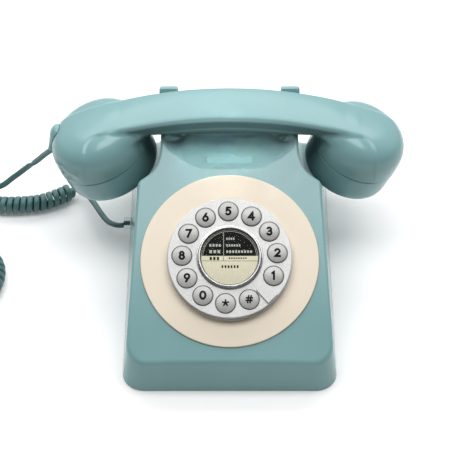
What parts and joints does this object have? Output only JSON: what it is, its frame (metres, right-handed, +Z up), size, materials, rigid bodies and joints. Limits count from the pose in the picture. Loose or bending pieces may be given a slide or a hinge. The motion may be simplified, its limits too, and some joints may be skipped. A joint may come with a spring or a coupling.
{
  "type": "desk telephone",
  "caption": "Push-button desk telephone shaped like a dial telephone, with a lift-off handset, curly cord, sprung keys and a mechanical ringer.",
  "frame": {"origin": "under the middle of the case, on the surface the telephone stands on", "axes": "+X to the viewer's right, +Y to the rear, +Z up; the dial faces -Y and up"},
  "size_m": [0.3617, 0.2, 0.1122],
  "materials": {
    "teal_plastic": "glossy moulded plastic, dusty teal",
    "cream_plastic": "satin cream plastic",
    "silver_plastic": "fine metallic silver paint",
    "key_plastic": "satin silver-grey key caps",
    "bright_metal": "polished plating",
    "dark_plastic": "fine textured black plastic",
    "white_plastic": "satin white plastic",
    "clear_plastic": "clear moulded plastic",
    "printed_card": "printed card",
    "soft_rubber": "matt black rubber",
    "circuit_board": "green coated board",
    "plated_steel": "zinc-plated steel",
    "weight_iron": "bare iron",
    "copper_wire": "enamelled copper winding",
    "cord_rubber": "dark teal cord sheath"
  },
  "bodies": {
    "base": {"case_shell": "teal_plastic", "base_plate": "dark_plastic", "rubber_feet": "soft_rubber", "case_screws": "plated_steel", "ballast_weight": "weight_iron", "face_disc": "cream_plastic", "dial_housing": "dark_plastic", "dial_ring": "silver_plastic", "finger_stop": "silver_plastic", "label_bezel": "bright_metal", "keypad_membrane": "soft_rubber", "keypad_board": "circuit_board", "recess_tongue": "teal_plastic", "hook_bracket": "dark_plastic", "hook_switch": "dark_plastic", "main_board": "circuit_board", "board_screws": "plated_steel", "line_socket": "dark_plastic", "handset_socket": "dark_plastic", "ringer_switch": "dark_plastic", "mode_switch": "dark_plastic", "bell_gong_left": "bright_metal", "bell_gong_right": "bright_metal", "ringer_frame": "plated_steel", "ringer_coil": "copper_wire", "cord_plug": "clear_plastic", "cord_tail_base": "cord_rubber", "cord_coil": "cord_rubber", "cord_tail_handset": "cord_rubber"},
    "handset": {"handset_body": "teal_plastic", "mouthpiece_cap": "teal_plastic", "earpiece_cap": "teal_plastic", "microphone_capsule": "dark_plastic", "speaker_capsule": "dark_plastic", "handset_weight": "weight_iron", "handset_strain_relief": "cord_rubber"},
    "hook_bar": {"hook_bar": "white_plastic"},
    "ringer_hammer": {"ringer_hammer": "plated_steel"},
    "ringer_knob": {"ringer_knob": "white_plastic"},
    "mode_knob": {"mode_knob": "white_plastic"},
    "redial": {"redial_button": "white_plastic", "redial_card": "printed_card", "redial_lens": "clear_plastic"},
    "key_1": {"key_1": "key_plastic"},
    "key_2": {"key_2": "key_plastic"},
    "key_3": {"key_3": "key_plastic"},
    "key_4": {"key_4": "key_plastic"},
    "key_5": {"key_5": "key_plastic"},
    "key_6": {"key_6": "key_plastic"},
    "key_7": {"key_7": "key_plastic"},
    "key_8": {"key_8": "key_plastic"},
    "key_9": {"key_9": "key_plastic"},
    "key_0": {"key_0": "key_plastic"},
    "key_star": {"key_star": "key_plastic"},
    "key_hash": {"key_hash": "key_plastic"}
  },
  "joints": [
    {"name": "handset_lift", "type": "slide", "parent": "base", "child": "handset", "axis": [0, 0, 1], "range_m": [0, 0.06]},
    {"name": "hook_rise", "type": "slide", "parent": "base", "child": "hook_bar", "axis": [0, 0, 1], "range_m": [0, 0.005]},
    {"name": "hammer_swing", "type": "hinge", "parent": "base", "child": "ringer_hammer", "pos_m": [0, 0.086, 0.0224], "axis": [0, 0, 1], "range_deg": [-3, 3], "stiffness_Nm_per_rad": 0.002},
    {"name": "ringer_volume_slide", "type": "slide", "parent": "base", "child": "ringer_knob", "axis": [1, 0, 0], "range_m": [0, 0.004]},
    {"name": "dial_mode_slide", "type": "slide", "parent": "base", "child": "mode_knob", "axis": [1, 0, 0], "range_m": [0, 0.004]},
    {"name": "redial_press", "type": "slide", "parent": "base", "child": "redial", "axis": [0, 0.4384, -0.8988], "range_m": [0, 0.0014], "stiffness_N_per_m": 400, "springref_m": -0.001},
    {"name": "key_1_press", "type": "slide", "parent": "base", "child": "key_1", "axis": [0, 0.4384, -0.8988], "range_m": [0, 0.0014], "stiffness_N_per_m": 400, "springref_m": -0.001},
    {"name": "key_2_press", "type": "slide", "parent": "base", "child": "key_2", "axis": [0, 0.4384, -0.8988], "range_m": [0, 0.0014], "stiffness_N_per_m": 400, "springref_m": -0.001},
    {"name": "key_3_press", "type": "slide", "parent": "base", "child": "key_3", "axis": [0, 0.4384, -0.8988], "range_m": [0, 0.0014], "stiffness_N_per_m": 400, "springref_m": -0.001},
    {"name": "key_4_press", "type": "slide", "parent": "base", "child": "key_4", "axis": [0, 0.4384, -0.8988], "range_m": [0, 0.0014], "stiffness_N_per_m": 400, "springref_m": -0.001},
    {"name": "key_5_press", "type": "slide", "parent": "base", "child": "key_5", "axis": [0, 0.4384, -0.8988], "range_m": [0, 0.0014], "stiffness_N_per_m": 400, "springref_m": -0.001},
    {"name": "key_6_press", "type": "slide", "parent": "base", "child": "key_6", "axis": [0, 0.4384, -0.8988], "range_m": [0, 0.0014], "stiffness_N_per_m": 400, "springref_m": -0.001},
    {"name": "key_7_press", "type": "slide", "parent": "base", "child": "key_7", "axis": [0, 0.4384, -0.8988], "range_m": [0, 0.0014], "stiffness_N_per_m": 400, "springref_m": -0.001},
    {"name": "key_8_press", "type": "slide", "parent": "base", "child": "key_8", "axis": [0, 0.4384, -0.8988], "range_m": [0, 0.0014], "stiffness_N_per_m": 400, "springref_m": -0.001},
    {"name": "key_9_press", "type": "slide", "parent": "base", "child": "key_9", "axis": [0, 0.4384, -0.8988], "range_m": [0, 0.0014], "stiffness_N_per_m": 400, "springref_m": -0.001},
    {"name": "key_0_press", "type": "slide", "parent": "base", "child": "key_0", "axis": [0, 0.4384, -0.8988], "range_m": [0, 0.0014], "stiffness_N_per_m": 400, "springref_m": -0.001},
    {"name": "key_star_press", "type": "slide", "parent": "base", "child": "key_star", "axis": [0, 0.4384, -0.8988], "range_m": [0, 0.0014], "stiffness_N_per_m": 400, "springref_m": -0.001},
    {"name": "key_hash_press", "type": "slide", "parent": "base", "child": "key_hash", "axis": [0, 0.4384, -0.8988], "range_m": [0, 0.0014], "stiffness_N_per_m": 400, "springref_m": -0.001}
  ],
  "couplings": [
    {"joint": "hook_rise", "follows": "handset_lift", "ratio": 0.08333}
  ]
}
